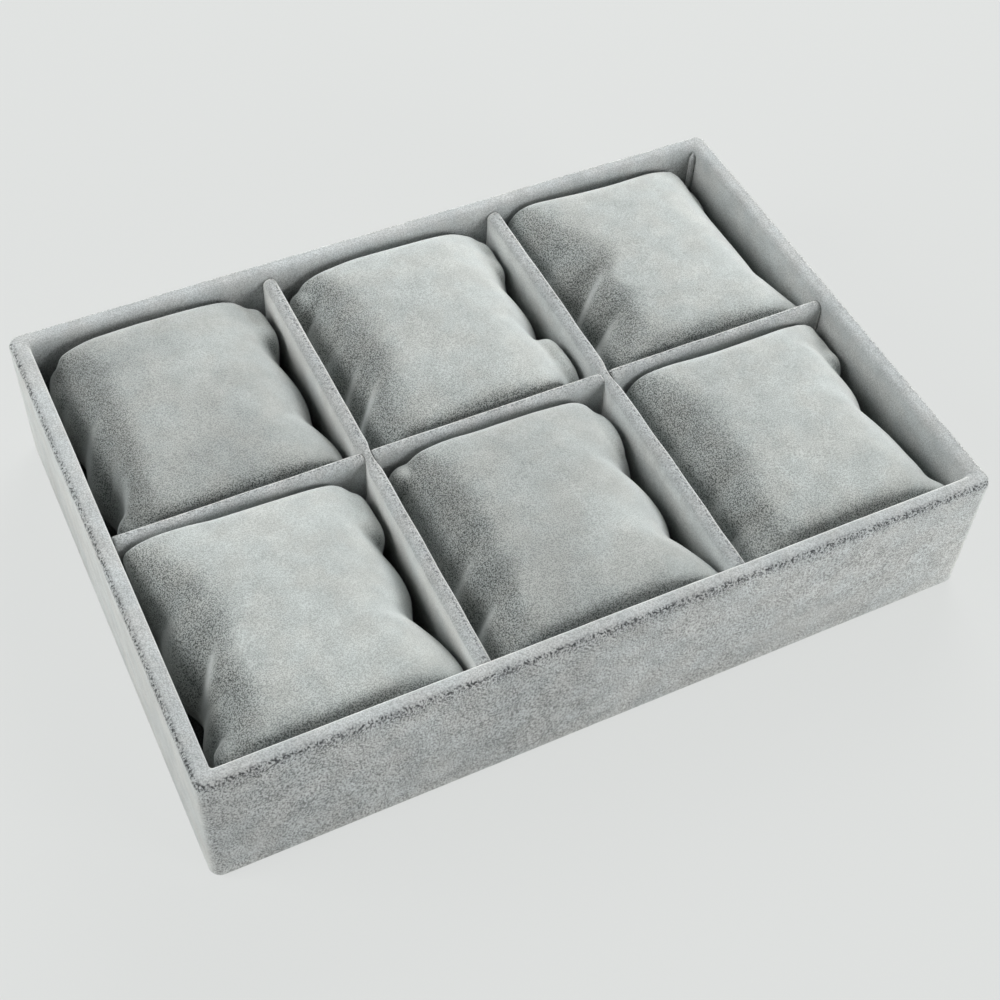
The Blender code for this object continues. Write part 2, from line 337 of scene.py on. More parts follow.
class Shader:
    """A material being built from nodes, with object coordinates in metres."""

    def __init__(self, name):
        self.material = bpy.data.materials.new(name)
        self.material.use_nodes = True
        self.nodes = self.material.node_tree.nodes
        self.links = self.material.node_tree.links
        self.surface = self.nodes["Principled BSDF"]
        self.place = self.nodes.new("ShaderNodeTexCoord").outputs["Object"]

    def noise(self, scale, detail=2.0, roughness=0.5, place=None):
        node = self.nodes.new("ShaderNodeTexNoise")
        node.inputs["Scale"].default_value = scale
        node.inputs["Detail"].default_value = detail
        node.inputs["Roughness"].default_value = roughness
        self.links.new(place or self.place, node.inputs["Vector"])
        return node.outputs["Fac"]

    def stretched(self, turn, scale):
        """Object coordinates turned by these angles first, and scaled then."""
        place = self.place
        for socket, value in (("Rotation", turn), ("Scale", scale)):
            node = self.nodes.new("ShaderNodeMapping")
            node.inputs[socket].default_value = value
            self.links.new(place, node.inputs["Vector"])
            place = node.outputs["Vector"]
        return place

    def attribute(self, name):
        node = self.nodes.new("ShaderNodeAttribute")
        node.attribute_name = name
        return node.outputs["Fac"]

    def ramp(self, value, low, high, to_low=0.0, to_high=1.0):
        node = self.nodes.new("ShaderNodeMapRange")
        node.interpolation_type = "SMOOTHSTEP"
        self.links.new(value, node.inputs["Value"])
        limits = {"From Min": low, "From Max": high, "To Min": to_low, "To Max": to_high}
        for socket, limit in limits.items():
            node.inputs[socket].default_value = limit
        return node.outputs["Result"]

    def slope(self, direction):
        """How far the surface faces this direction in the object's own frame, from -1 to 1."""
        node = self.nodes.new("ShaderNodeVectorMath")
        node.operation = "DOT_PRODUCT"
        self.links.new(self.nodes.new("ShaderNodeTexCoord").outputs["Normal"], node.inputs[0])
        node.inputs[1].default_value = direction
        return node.outputs["Value"]

    def math(self, operation, a, b):
        node = self.nodes.new("ShaderNodeMath")
        node.operation = operation
        for slot, value in enumerate((a, b)):
            if isinstance(value, (int, float)):
                node.inputs[slot].default_value = value
            else:
                self.links.new(value, node.inputs[slot])
        return node.outputs["Value"]

    def mix(self, share, a, b, blend="MIX"):
        node = self.nodes.new("ShaderNodeMix")
        node.data_type = "RGBA"
        node.blend_type = blend
        for socket, value in (("Factor", share), ("A", a), ("B", b)):
            plug = [i for i in node.inputs if i.name == socket and i.enabled][0]
            if isinstance(value, (int, float)):
                plug.default_value = value
            elif isinstance(value, tuple):
                plug.default_value = (*value, 1)
            else:
                self.links.new(value, plug)
        return [o for o in node.outputs if o.enabled][0]

    def bump(self, height, strength, distance):
        node = self.nodes.new("ShaderNodeBump")
        node.inputs["Strength"].default_value = strength
        node.inputs["Distance"].default_value = distance
        self.links.new(height, node.inputs["Height"])
        self.links.new(node.outputs["Normal"], self.surface.inputs["Normal"])

    def set(self, **sockets):
        for name, value in sockets.items():
            self.surface.inputs[name.replace("_", " ")].default_value = value

    def colour(self, value):
        self.links.new(value, self.surface.inputs["Base Color"])


def velvet(name, tones, sheen, painted_shade_away=1.0, ruffled_shade=None, parting_share=0.0):
    """Short pile: dark specks between the tufts, patches where the nap lies another way, and sheen.

    Seen end on, the pile shows the dark between its tufts. Towards grazing views a sheen is painted into
    the colour: Layer Weight mixes in the pale sheen_tips, beside the shader's own sheen. Where the surface
    faces away from the painted light direction, the specks are deeper and all of it is darker: painted
    shade.
    """
    tones = {tone: linear(*shares) for tone, shares in tones.items()}
    sheen_tips, light, dark, deep = (tones[tone] for tone in ("sheen_tips", "light", "dark", "deep"))
    s = Shader(name)
    grain = s.noise(tuft_fineness, 2.0, 0.6)
    patch = s.noise(120.0, 3.0, 0.6)
    region = s.noise(18.0, 1.0, 0.5)
    specks = s.ramp(grain, 0.36, 0.62)
    # Painted shade: faces turned away from the painted light direction get the deep specks and, for the
    # pillows, are darkened further below.
    painted_lit_side = s.ramp(s.slope(painted_light_direction), 0.25, 0.95)
    tone = s.mix(specks, s.mix(painted_lit_side, deep, dark), light)
    if "brushed" in tones:
        along_streaks = s.stretched((0.0, math.radians(streak_turn), 0.0), streak_stretch)
        lie = s.noise(tuft_fineness, 1.0, 0.5, along_streaks)
        flat_patch = s.ramp(s.noise(170.0, 4.0, 0.65), 0.32, 0.68, -0.035, 0.035)
        streaks = s.mix(s.ramp(s.math("ADD", lie, flat_patch), 0.38, 0.58), tones["brushed"], light)
        tone = s.mix(s.attribute("brushed"), tone, streaks)
    # Painted sheen: towards grazing views Layer Weight mixes the pale sheen_tips into the base colour.
    facing = s.nodes.new("ShaderNodeLayerWeight")
    facing.inputs["Blend"].default_value = 0.5
    painted_sheen = s.mix(specks, dimmed(sheen_tips, 0.8), sheen_tips)
    if "brushed" in tones:
        brushed_painted_sheen = s.mix(specks, dimmed(sheen_tips, 0.73), dimmed(sheen_tips, 0.92))
        painted_sheen = s.mix(s.attribute("brushed"), painted_sheen, brushed_painted_sheen)
    tone = s.mix(s.ramp(facing.outputs["Facing"], 0.40, 0.85), tone, painted_sheen)
    shade = s.math("MULTIPLY", s.ramp(patch, 0.3, 0.7, 0.87, 1.0), s.ramp(region, 0.3, 0.7, 0.90, 1.0))
    # Painted shade on the faces turned away from the painted light direction.
    shade = s.math("MULTIPLY", shade, s.ramp(painted_lit_side, 0.0, 1.0, painted_shade_away, 1.0))
    if ruffled_shade:
        shade = s.math("MULTIPLY", shade, s.ramp(s.attribute("ruffled"), 0.0, 1.0, 1.0, ruffled_shade))
    tint = s.mix(s.ramp(s.noise(75.0, 2.0, 0.5), 0.35, 0.65), (1.0, 0.988, 0.975), (0.98, 0.993, 0.995))
    tone = s.mix(1.0, tone, s.mix(shade, (0.0, 0.0, 0.0), tint), "MULTIPLY")
    if parting_share:
        clumps = s.ramp(s.noise(1300.0, 1.0, 0.5), 0.50, 0.60)
        parted = s.math("MULTIPLY", s.math("MULTIPLY", s.attribute("parting"), clumps), parting_share)
        tone = s.mix(parted, tone, between_tufts)
    s.colour(tone)
    s.bump(s.math("ADD", s.math("MULTIPLY", grain, 0.8), s.math("MULTIPLY", patch, 0.4)), 0.4, 0.0005)
    s.set(Roughness=0.95, Sheen_Weight=sheen, Sheen_Roughness=0.5, Sheen_Tint=(0.95, 0.98, 0.97, 1))
    s.set(Specular_IOR_Level=0.1)
    return s.material


def grey_board():
    s = Shader("grey_board")
    fibres = s.noise(900.0, 4.0, 0.7, s.stretched((0.0, 0.0, 0.4), (1.0, 0.35, 1.0)))
    flecks = s.ramp(s.noise(260.0, 2.0, 0.6), 0.62, 0.72)
    tone = s.mix(s.ramp(fibres, 0.3, 0.7), linear(0.56, 0.53, 0.49), linear(0.68, 0.65, 0.61))
    s.colour(s.mix(s.math("MULTIPLY", flecks, 0.5), tone, linear(0.42, 0.39, 0.36)))
    s.bump(fibres, 0.35, 0.0003)
    s.set(Roughness=0.92, Specular_IOR_Level=0.25)
    return s.material


def backing_paper():
    """The embossed paper on the underside."""
    s = Shader("underside_backing")
    emboss = s.noise(1100.0, 1.0, 0.4)
    patch = s.ramp(s.noise(120.0, 3.0, 0.6), 0.3, 0.7)
    tone = s.mix(patch, linear(0.62, 0.63, 0.64), linear(0.69, 0.70, 0.71))
    s.colour(s.mix(s.ramp(emboss, 0.4, 0.6, 0.0, 0.25), tone, linear(0.54, 0.55, 0.56)))
    s.bump(emboss, 0.5, 0.0002)
    s.set(Roughness=0.75, Specular_IOR_Level=0.35)
    return s.material


def wadding():
    s = Shader("white_wadding")
    fibres = s.noise(420.0, 5.0, 0.7)
    s.colour(s.mix(s.ramp(fibres, 0.3, 0.7), linear(0.80, 0.80, 0.78), linear(0.93, 0.93, 0.91)))
    s.bump(fibres, 0.8, 0.0012)
    s.set(Roughness=1.0, Sheen_Weight=0.4, Sheen_Roughness=0.5, Specular_IOR_Level=0.1)
    return s.material


def arc(centre, radius, start, end, steps):
    """Points of an arc in a plane, from one angle in degrees to the other."""
    angles = [math.radians(start + (end - start) * step / steps) for step in range(steps + 1)]
    return [(centre[0] + radius * math.cos(a), centre[1] + radius * math.sin(a)) for a in angles]


def between(a, b, steps):
    """The points that cut a straight run into steps, without its ends."""
    return [tuple(p + (q - p) * step / steps for p, q in zip(a, b)) for step in range(1, steps)]


def with_runs(points, closed, step):
    """Adds points along the straight runs, so that none is longer than the step."""
    filled = []
    count = len(points)
    for i in range(count if closed else count - 1):
        a, b = points[i], points[(i + 1) % count]
        length = math.dist(a, b)
        filled.append(a)
        filled += between(a, b, max(1, math.ceil(length / step)))
    if not closed:
        filled.append(points[-1])
    return filled


def drift(point, seed, length=wave_length):
    """Smooth noise from -1 to 1 that changes over about this length."""
    return noise.noise(Vector(point) / length + Vector((seed * 7.3, seed * 3.1, seed * 5.7)))


def tray_ring(half_x, half_y, inset, counts):
    """A ring this far in from the outer faces, with the same number of points at every inset."""
    radius = max(outer_corner_radius - inset, inner_corner_radius)
    x = half_x - inset - radius
    y = half_y - inset - radius
    ring = []
    for quarter, (sx, sy) in enumerate(corner_sides):
        start = 90 * quarter
        turn = arc((sx * x, sy * y), radius, start, start + 90, corner_steps)
        nx, ny = corner_sides[(quarter + 1) % 4]
        after = arc((nx * x, ny * y), radius, start + 90, start + 180, corner_steps)[0]
        ring += turn + between(turn[-1], after, counts[quarter % 2])
    return ring


def wrap_profile(low, high, wall, foot_level):
    """The pile side of the wrap in section, as (inset, level, how far its pile parts, how brushed)."""
    skin = velvet_thickness + seat_gap
    crown = high - rim_radius
    foot = [(*p, 0.0, 1.0) for p in arc((skin, low + skin), skin, 270, 180, roll_steps)]
    rise = [(*p, 0.0, 1.0) for p in between((0, low + skin), (0, crown), face_steps)]
    outer = []
    for step, point in enumerate(arc((rim_radius, crown), rim_radius, 180, 90, roll_steps)):
        parted = math.sin(math.pi * (step + 1) / (roll_steps + 2)) ** 4
        outer.append((*point, parted, 1.0 - step / roll_steps))
    inner = [(*p, 0.0, 0.0) for p in arc((wall - rim_radius, crown), rim_radius, 90, 0, roll_steps)]
    fall = [(*p, 0.0, inner_brushed) for p in between((wall, crown), (wall, foot_level), face_steps)]
    hem_edge = (hem_width, low, 0.0, 1.0)
    lining_edge = (wall, foot_level, 0.0, inner_brushed)
    return [hem_edge, *foot, *rise, *outer, *inner, *fall, lining_edge]


def set_shares(mesh, name, values):
    """Keeps a share for each point, which the velvet reads."""
    mesh.attributes.new(name, "FLOAT", "POINT").data.foreach_set("value", values)


def ring_faces(rings, size):
    """The faces between rings of this many points, which run anticlockwise and rise."""
    faces = []
    for row in range(rings - 1):
        for i in range(size):
            j = (i + 1) % size
            faces.append((row * size + i, row * size + j, (row + 1) * size + j, (row + 1) * size + i))
    return faces


def make_wrap(material):
    """The velvet over the walls, softly uneven, with its pile parted along the rim's outer edge."""
    low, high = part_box("outer_wrap")
    wall = high.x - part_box("floor_velvet")[1].x - seat_gap
    foot_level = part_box("floor_card")[0].z
    counts = [max(2, round(2 * half / ring_step)) for half in (high.x, high.y)]
    points, parting, brushed = [], [], []
    profile = wrap_profile(low.z, high.z, wall, foot_level)
    for inset, level, parted, brush in profile:
        ring = tray_ring(high.x, high.y, inset, counts)
        points += [Vector((x, y, level)) for x, y in ring]
        parting += [parted] * len(ring)
        brushed += [brush] * len(ring)
    faces = ring_faces(len(profile), len(points) // len(profile))
    obj = mesh_object("outer_wrap_velvet", points, faces)
    set_shares(obj.data, "parting", parting)
    set_shares(obj.data, "brushed", brushed)
    soften(obj, 1, lambda point: point.z > low.z + foot_kept_flat)
    thicken(obj, velvet_thickness)
    finish_piece(obj, "tray", "tray_velvet", material, "outer_wrap")


def make_lining_fold(material):
    """The narrow upright fold where the lining overlaps itself in the back right corner."""
    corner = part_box("floor_velvet")[1]
    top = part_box("outer_wrap")[1].z - lining_fold_drop
    half_width = lining_fold_width / 2
    depth = lining_fold_width * lining_fold_depth_share
    diagonal, along = Vector((-1, -1, 0)).normalized(), Vector((1, -1, 0)).normalized()
    ring = arc((0, 0), 1, 0, 360, 2 * corner_steps)[:-1]
    size = len(ring)
    points = []
    for step in range(lining_fold_steps + 1):
        level = corner.z + step / lining_fold_steps * (top - corner.z)
        taper = lining_fold_tip_share if step == lining_fold_steps else 1.0
        middle = Vector((corner.x, corner.y, level)) + diagonal * depth * lining_fold_stand_share
        middle += along * lining_fold_wander * drift((0, 0, level), 61)
        points += [middle + along * x * half_width * taper + diagonal * y * depth * taper for x, y in ring]
    # The rings run clockwise here, so their faces are turned over.
    faces = [(a, d, c, b) for a, b, c, d in ring_faces(lining_fold_steps + 1, size)]
    faces += [tuple(range(size)), tuple(reversed(range(len(points) - size, len(points))))]
    fold = mesh_object("lining_fold", points, faces)
    set_shares(fold.data, "parting", [0.0] * len(points))
    set_shares(fold.data, "brushed", [inner_brushed] * len(points))
    finish_piece(fold, "tray", "tray_velvet", material)


def soften(obj, seed, chosen):
    """Moves the points a little along their normals, mostly inwards, so that the cloth lies unevenly."""
    normals = [vertex.normal.copy() for vertex in obj.data.vertices]
    for vertex, normal in zip(obj.data.vertices, normals):
        if chosen(vertex.co):
            fine = drift(vertex.co, seed + 1, fine_wave_length)
            rise = drift(vertex.co, seed) + fine_wave_share * fine
            vertex.co += normal * waviness * (rise - 1.0) / 2


def thicken(obj, thickness):
    modifier = obj.modifiers.new("velvet", "SOLIDIFY")
    modifier.thickness = thickness
    modifier.offset = -1
    modifier.use_even_offset = True
    apply_modifiers(obj)


def finish_piece(obj, body, slot, material, *nodes):
    obj.data.materials.clear()
    obj.data.materials.append(material)
    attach(obj, body)
    if nodes:
        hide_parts(*nodes)


def divider_section(half, top, low):
    """Up one side, over the round top and down the other side."""
    dome = arc((0, top - half), half, 180, 0, 2 * roll_steps)
    left = with_runs([(-half, low), dome[0]], False, divider_side_step)
    right = with_runs([dome[-1], (half, low)], False, divider_side_step)
    return left[:-1] + dome + right[1:]


def pinch(level, low, top, near):
    """How much of its width a cross divider keeps, where the slot of the long one grips its top."""
    grip = math.exp(-(near / divider_notch_length) ** 4)
    above = clamp((level - (top + low) / 2) / divider_notch_fade)
    return 1.0 - (1.0 - divider_notch_share) * grip * above


def sleeve_drift(station, offset, half, middle):
    """How far the top of a sleeve wanders across and sags at this place."""
    seed = middle * 100
    wander = divider_wander_share * half * drift((station, 0, 0), 11 + seed, divider_wander_length)
    place = (station, offset * divider_sag_crosswise, 0)
    sag = divider_sag * (drift(place, 23 + seed, divider_sag_length) - 1) / 2
    return wander, sag


def sleeve_faces(rows, size, base, turned):
    """The faces between rows of this many points, of which the first has this number."""
    faces = []
    for row in range(rows - 1):
        for i in range(size - 1):
            first = base + row * size + i
            quad = (first, first + 1, first + size + 1, first + size)
            faces.append(quad[::-1] if turned else quad)
    return faces


def make_divider(name, along_x, crossings, runs_through, material):
    """A divider's folded sleeve, whole where it runs through the others and in lengths where not."""
    node = f"{name}_velvet"
    low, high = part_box(node)
    axis, across = (0, 1) if along_x else (1, 0)
    half = (high[across] - low[across]) / 2
    middle = (high[across] + low[across]) / 2
    section = divider_section(half, high.z, low.z)
    cuts = []
    if not runs_through:
        cuts = [c + side * half * divider_notch_share for c in crossings for side in (-1, 1)]
    ends = [low[axis], *cuts, high[axis]]
    points, faces, parting, brushed = [], [], [], []
    for start, end in zip(ends[::2], ends[1::2]):
        stations = [place[0] for place in with_runs([(start,), (end,)], False, divider_step)]
        faces += sleeve_faces(len(stations), len(section), len(points), along_x)
        for station in stations:
            near = min(abs(station - c) for c in crossings)
            cut_end = math.exp(-min(abs(station - c) for c in cuts) / fray_length) if cuts else 0.0
            for offset, level in section:
                width_share = pinch(level, low.z, high.z, near) if runs_through else 1.0
                top_share = max(0.0, (level - (high.z - 2 * half)) / (2 * half))
                wander, sag = sleeve_drift(station, offset, half, middle)
                point = [0.0, 0.0, level + sag * top_share - fray_drop * cut_end * top_share]
                point[axis] = station
                point[across] = middle + offset * width_share + wander * top_share
                points.append(point)
                seam = math.exp(-((offset / half - seam_place) / seam_spread) ** 2)
                parting.append(top_share * (seam_share * seam + fray_share * cut_end))
                brushed.append(divider_brushed * top_share)
    obj = mesh_object(f"{name}_sleeve", points, faces)
    set_shares(obj.data, "parting", parting)
    set_shares(obj.data, "brushed", brushed)
    thicken(obj, velvet_thickness)
    finish_piece(obj, "tray", "tray_velvet", material, node)


# The cut of each bag before it is sewn: its width along Y and length along X over the seams, how far its
# left and right ends are hollowed, how much more cloth its ends have, the seed of its unevenness, how
# ruffled its pile is and how its top slopes. Left and right give the puckers along those ends, as pairs:
# the place where the seam has drawn the cloth in, from -1 at the front to 1 at the back, and how far.
bag_cuts = {
    "front_left": dict(
        width=0.129, length=0.115, hollows=(0.0005, 0.0065), gather=0.12, seed=1, ruffled=0.0, slope=-0.04,
        left=((-0.78, 0.0025), (-0.28, 0.0030), (0.30, 0.0010)),
        right=((-0.62, 0.0022), (-0.16, 0.0030), (0.30, 0.0022), (0.66, 0.0018)),
    ),
    "front_middle": dict(
        width=0.129, length=0.115, hollows=(0.0010, 0.0065), gather=0.12, seed=2, ruffled=0.65, slope=0.0,
        left=((-0.35, 0.0020), (0.66, 0.0035)),
        right=((-0.66, 0.0018), (-0.28, 0.0026), (0.14, 0.0026), (0.52, 0.0020)),
    ),
    "front_right": dict(
        width=0.127, length=0.115, hollows=(0.0010, 0.0065), gather=0.12, seed=3, ruffled=0.15, slope=0.0,
        left=((-0.70, 0.0010), (-0.38, 0.0025)),
        right=((-0.42, 0.0018), (0.00, 0.0022), (0.36, 0.0026), (0.64, 0.0020)),
    ),
    "back_left": dict(
        width=0.130, length=0.116, hollows=(0.0005, 0.0070), gather=0.11, seed=4, ruffled=0.9, slope=-0.02,
        left=((-0.80, 0.0020), (-0.40, 0.0030), (0.10, 0.0015)),
        right=((-0.66, 0.0026), (-0.22, 0.0018), (0.24, 0.0020)),
    ),
    "back_middle": dict(
        width=0.129, length=0.115, hollows=(0.0010, 0.0060), gather=0.12, seed=5, ruffled=0.15, slope=0.0,
        left=((-0.62, 0.0020), (-0.10, 0.0020), (0.45, 0.0010)),
        right=((-0.60, 0.0038), (-0.18, 0.0024), (0.22, 0.0022), (0.58, 0.0016)),
    ),
    "back_right": dict(
        width=0.127, length=0.115, hollows=(0.0010, 0.0070), gather=0.11, seed=6, ruffled=0.05, slope=-0.05,
        left=((-0.72, 0.0015), (-0.30, 0.0040)),
        right=((-0.25, 0.0010),),
    ),
}


def pucker(cut, u, v):
    """How far the seam of the nearer end draws the cloth in at this place."""
    side = cut["right" if u > 0 else "left"]
    depth = sum(deep * math.exp(-((v - place) / pucker_width_share) ** 2) for place, deep in side)
    return depth * abs(u) ** 3


def flat_place(cut, u, v):
    """Where a place of the bag, from -1 to 1 each way, lies in the flat cut."""
    left_hollow, right_hollow = cut["hollows"]
    hollow = right_hollow if u > 0 else left_hollow
    half_length = cut["length"] / 2 - hollow * (1 - v * v)
    width = cut["width"] * (1 + cut["gather"] * u ** 4)
    kept = 1 - corner_rounding_share * (u * v) ** corner_sharpness
    x = kept * u * half_length - math.copysign(pucker(cut, u, v), u)
    return Vector((x, kept * v * width / 2, 0))


def bag_grid(cut, half_x, half_y):
    """The flat cut, the loose loaf that it starts as, and the faces of a closed two-sided bag."""
    random_source = random.Random(cut["seed"])
    flat, start, faces, index = [], [], [], {}
    for side in (1, -1):
        for i in range(bag_cells_along + 1):
            for j in range(bag_cells_across + 1):
                on_seam = i in (0, bag_cells_along) or j in (0, bag_cells_across)
                if on_seam and side == -1:
                    index[side, i, j] = index[1, i, j]
                    continue
                u = 2 * i / bag_cells_along - 1
                v = 2 * j / bag_cells_across - 1
                index[side, i, j] = len(flat)
                flat.append(flat_place(cut, u, v))
                rounding = math.sqrt((1 - u ** 6) * (1 - v ** 6))
                height = 0.0 if on_seam else side * start_half_height * rounding
                shake = [random_source.uniform(-bag_jitter, bag_jitter) for _ in range(3)]
                height += start_ear_lift * (u * v) ** corner_sharpness
                loaf = Vector((u * half_x * start_fill_share, v * half_y * start_fill_share, height))
                start.append(loaf + Vector(shake))
    for side in (1, -1):
        for i in range(bag_cells_along):
            for j in range(bag_cells_across):
                corners = ((i, j), (i + 1, j), (i + 1, j + 1), (i, j + 1))
                quad = [index[(side, *corner)] for corner in corners]
                faces.append(quad if side == 1 else quad[::-1])
    return flat, start, faces


def slab(points, faces, low, high):
    base = len(points)
    points += product(*zip(low, high))
    sides = ((0, 1, 3, 2), (4, 6, 7, 5), (0, 4, 5, 1), (2, 3, 7, 6), (0, 2, 6, 4), (1, 5, 7, 3))
    faces += [[base + n for n in side] for side in sides]


def lid(points, faces, half_x, half_y, crown, slope):
    """A domed board that presses the stuffed bag down to its height."""
    base = len(points)
    for roof in (False, True):
        for a in range(lid_steps + 1):
            for b in range(lid_steps + 1):
                u, v = 2 * a / lid_steps - 1, 2 * b / lid_steps - 1
                fall = crown_fall * (u * u + crown_side_share * abs(v) ** crown_side_power)
                dome = crown - fall + slope * u * half_x
                level = crown + lid_thickness if roof else dome
                points.append((u * half_x, v * half_y, level))
    layer = (lid_steps + 1) ** 2
    for a in range(lid_steps):
        for b in range(lid_steps):
            first = base + a * (lid_steps + 1) + b
            quad = [first, first + lid_steps + 1, first + lid_steps + 2, first + 1]
            faces.append(quad[::-1])
            faces.append([n + layer for n in quad])


def compartment_mould(name, half_x, half_y, floor, slope, station):
    """The floor, walls and lid that the bag meets, about the middle of the pillow."""
    points, faces = [], []
    outer_x = half_x + mould_thickness
    outer_y = half_y + mould_thickness
    slab(points, faces, (-outer_x, -outer_y, floor - mould_thickness), (outer_x, outer_y, floor))
    for side in (-1, 1):
        near, far = sorted((side * half_x, side * outer_x))
        slab(points, faces, (near, -outer_y, floor), (far, outer_y, mould_top))
        near, far = sorted((side * half_y, side * outer_y))
        slab(points, faces, (-half_x, near, floor), (half_x, far, mould_top))
    lid(points, faces, half_x, half_y, crown_level + contact_gap, slope)
    points = [Vector(p) * bag_scale + station for p in points]
    mould = mesh_object(f"{name}_mould", points, faces, False)
    mould.modifiers.new("mould", "COLLISION")
    mould.collision.thickness_outer = mould_skin * bag_scale
    mould.collision.cloth_friction = 0.3
    mould.collision.damping = 0.5
    return mould


def sewn_bag(name, cut, half_x, half_y, middle, station):
    """The bag as it starts, with its flat cut as the length that its threads keep."""
    flat, start, faces = bag_grid(cut, half_x, half_y)
    shift = station + Vector((0, 0, middle * bag_scale))
    bag = mesh_object(f"{name}_bag", [p * bag_scale + shift for p in start], faces)
    bag.shape_key_add(name="start")
    key = bag.shape_key_add(name="flat")
    for item, point in zip(key.data, flat):
        item.co = point * bag_scale
    key.value = 0.0
    # The rest lengths are read from the flat key only behind a modifier that may change the mesh.
    bag.modifiers.new("keep", "WELD").merge_threshold = 1e-7
    cloth = bag.modifiers.new("cloth", "CLOTH")
    settings = cloth.settings
    settings.quality = 8
    settings.mass = 0.1
    settings.tension_stiffness = 60
    settings.compression_stiffness = 40
    settings.shear_stiffness = 10
    settings.bending_stiffness = bag_bending
    settings.tension_damping = settings.compression_damping = settings.shear_damping = 10
    settings.bending_damping = 1
    settings.air_damping = 2
    settings.use_pressure = True
    settings.uniform_pressure_force = bag_pressure
    settings.effector_weights.gravity = bag_gravity
    settings.rest_shape_key = key
    cloth.collision_settings.distance_min = contact_gap * bag_scale
    cloth.collision_settings.collision_quality = 3
    cloth.point_cache.frame_end = bag_frames
    return bag


def stuffed_bags():
    """Every bag blown up in its compartment by cloth simulation, as (points, faces) in the frame."""
    bags, moulds, shifts = {}, {}, {}
    for number, (name, cut) in enumerate(bag_cuts.items()):
        low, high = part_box(f"{name}_pillow_cover")
        centre = (low + high) / 2
        # Contact happens this far from the mould, so the mould stands back by as much.
        half_x = (high.x - low.x) / 2 + stand_off
        half_y = (high.y - low.y) / 2 + stand_off
        station = Vector((number * station_spacing, 0, 0))
        floor, slope = low.z - stand_off, cut["slope"]
        moulds[name] = compartment_mould(name, half_x, half_y, floor, slope, station)
        bags[name] = sewn_bag(name, cut, half_x, half_y, low.z + start_middle, station)
        shifts[name] = Vector((centre.x, centre.y, 0)) - station / bag_scale
    last = bag_frames
    for frame in range(1, last + 1):
        bpy.context.scene.frame_set(frame)
    graph = bpy.context.evaluated_depsgraph_get()
    forms = {}
    for name, bag in bags.items():
        settled = bag.evaluated_get(graph).data
        points = [vertex.co / bag_scale + shifts[name] for vertex in settled.vertices]
        forms[name] = (points, [tuple(face.vertices) for face in bag.data.polygons])
    for obj in [*bags.values(), *moulds.values()]:
        bpy.data.objects.remove(obj)
    bpy.context.scene.frame_set(1)
    return forms


# How far each corner of a bag is pressed out into its compartment's corner, by the sides of X and Y it
# is on. Less than 0 draws it in, and a corner that isn't named keeps its form.
bag_corners = {
    "front_left": {(-1, 1): 1.8, (1, -1): 0.6, (-1, -1): -0.3},
    "front_middle": {(1, -1): 0.8, (-1, 1): 0.3, (1, 1): -0.2},
    "front_right": {(1, -1): 0.5, (1, 1): 0.2, (-1, 1): 0.5},
    "back_left": {(-1, 1): -0.5, (1, 1): -0.4},
    "back_middle": {(-1, 1): -0.3, (1, 1): -0.3},
    "back_right": {(-1, 1): 0.5, (1, -1): 0.3},
}

# The ears that the corners of a bag fold up into: the corner, the level of the tip, how far the ear
# reaches along X and Y from the walls, half its height, and how deeply it is creased into two lobes.
bag_ears = {
    "front_left": (
        (-1, -1, 0.0503, 0.0255, 0.0120, 0.0050, 0.0), (1, 1, 0.0490, 0.0170, 0.0270, 0.0110, 0.12),
    ),
    "front_middle": (
        (-1, 1, 0.0502, 0.0200, 0.0100, 0.0052, 0.50), (1, 1, 0.0500, 0.0180, 0.0290, 0.0120, 0.0),
    ),
    "front_right": ((1, 1, 0.0492, 0.0140, 0.0240, 0.0110, 0.2),),
    "back_left": (
        (-1, 1, 0.0485, 0.0170, 0.0240, 0.0110, 0.0), (1, 1, 0.0492, 0.0160, 0.0250, 0.0110, 0.15),
        (-1, -1, 0.0482, 0.0200, 0.0110, 0.0055, 0.0),
    ),
    "back_middle": (
        (-1, 1, 0.0495, 0.0170, 0.0170, 0.0100, 0.0), (1, 1, 0.0492, 0.0160, 0.0260, 0.0120, 0.25),
        (1, -1, 0.0495, 0.0120, 0.0300, 0.0100, 0.0),
    ),
    "back_right": (
        (-1, 1, 0.0515, 0.0240, 0.0180, 0.0100, 0.1), (1, 1, 0.0430, 0.0150, 0.0220, 0.0100, 0.0),
    ),
}

# The folds that run in from an end of a bag, measured from its middle: the X and Y of where a fold
# starts and of where it ends, and how deep it is at its start.
bag_folds = {
    "front_left": (
        (-0.041, -0.014, -0.018, 0.010, 0.0042), (-0.041, -0.034, -0.028, -0.024, 0.0022),
        (-0.041, 0.015, -0.027, 0.020, 0.0010),
    ),
    "front_middle": (
        (-0.040, -0.006, -0.014, 0.007, 0.0022), (-0.043, -0.022, -0.018, -0.015, 0.0020),
        (0.040, 0.010, 0.020, 0.016, 0.0010),
    ),
    "front_right": ((-0.043, -0.015, -0.020, -0.003, 0.0027), (-0.042, 0.014, -0.025, 0.015, 0.0012)),
    "back_left": (
        (-0.040, -0.022, -0.027, 0.006, 0.0034), (-0.041, -0.035, -0.023, -0.008, 0.0024),
        (-0.043, -0.002, -0.035, 0.018, 0.0016),
    ),
    "back_middle": (
        (-0.042, -0.023, -0.018, -0.004, 0.0036), (-0.041, -0.007, -0.023, 0.004, 0.0018),
        (-0.041, 0.008, -0.026, 0.012, 0.0014),
    ),
    "back_right": (
        (-0.040, -0.009, -0.008, 0.012, 0.0044), (-0.040, 0.014, -0.020, 0.016, 0.0012),
        (-0.040, -0.025, -0.020, -0.015, 0.0012),
    ),
}


def round_norm(u, v, power):
    """The size of a place on a rounded square: the higher the power, the squarer."""
    return (abs(u) ** power + abs(v) ** power) ** (1 / power)


